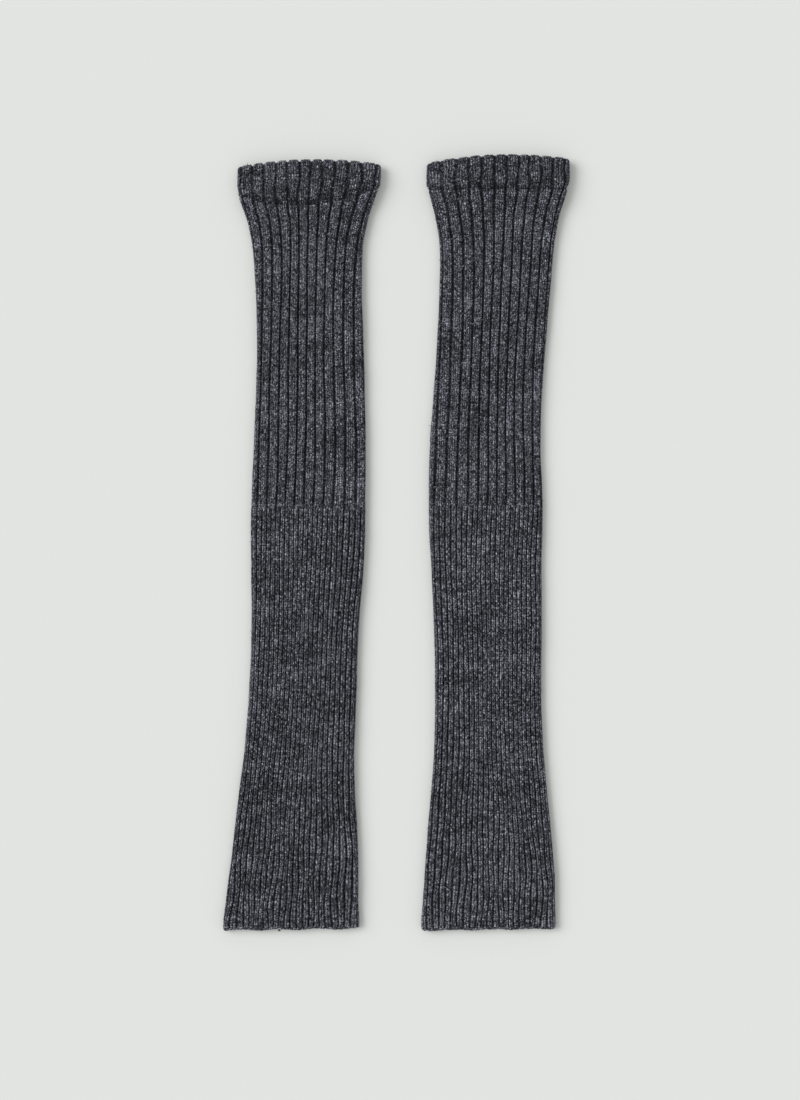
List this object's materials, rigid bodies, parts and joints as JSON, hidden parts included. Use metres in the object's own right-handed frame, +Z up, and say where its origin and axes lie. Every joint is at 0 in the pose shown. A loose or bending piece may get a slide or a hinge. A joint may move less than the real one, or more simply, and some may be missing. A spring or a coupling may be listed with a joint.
{
  "type": "pair of arm warmers",
  "caption": "Long ribbed wool arm warmers laid flat side by side: open knitted tubes with a wide folded top hem and a slightly flared hand edge.",
  "frame": {"origin": "on the surface the pair lies on, under the middle of the pair's box", "axes": "+X across the pair to the viewer's right, +Y up the arm from the hand edges to the top hems, +Z up off the surface"},
  "size_m": [0.2152, 0.481, 0.0082],
  "materials": {
    "wool_knit": "charcoal melange wool rib, matt, with light grey-blue flecks and short fuzz"
  },
  "bodies": {
    "root": {"left_cast_off_edge": "wool_knit", "left_lower_sleeve": "wool_knit", "left_upper_sleeve": "wool_knit", "left_top_hem": "wool_knit", "right_cast_off_edge": "wool_knit", "right_lower_sleeve": "wool_knit", "right_upper_sleeve": "wool_knit", "right_top_hem": "wool_knit"}
  },
  "joints": []
}
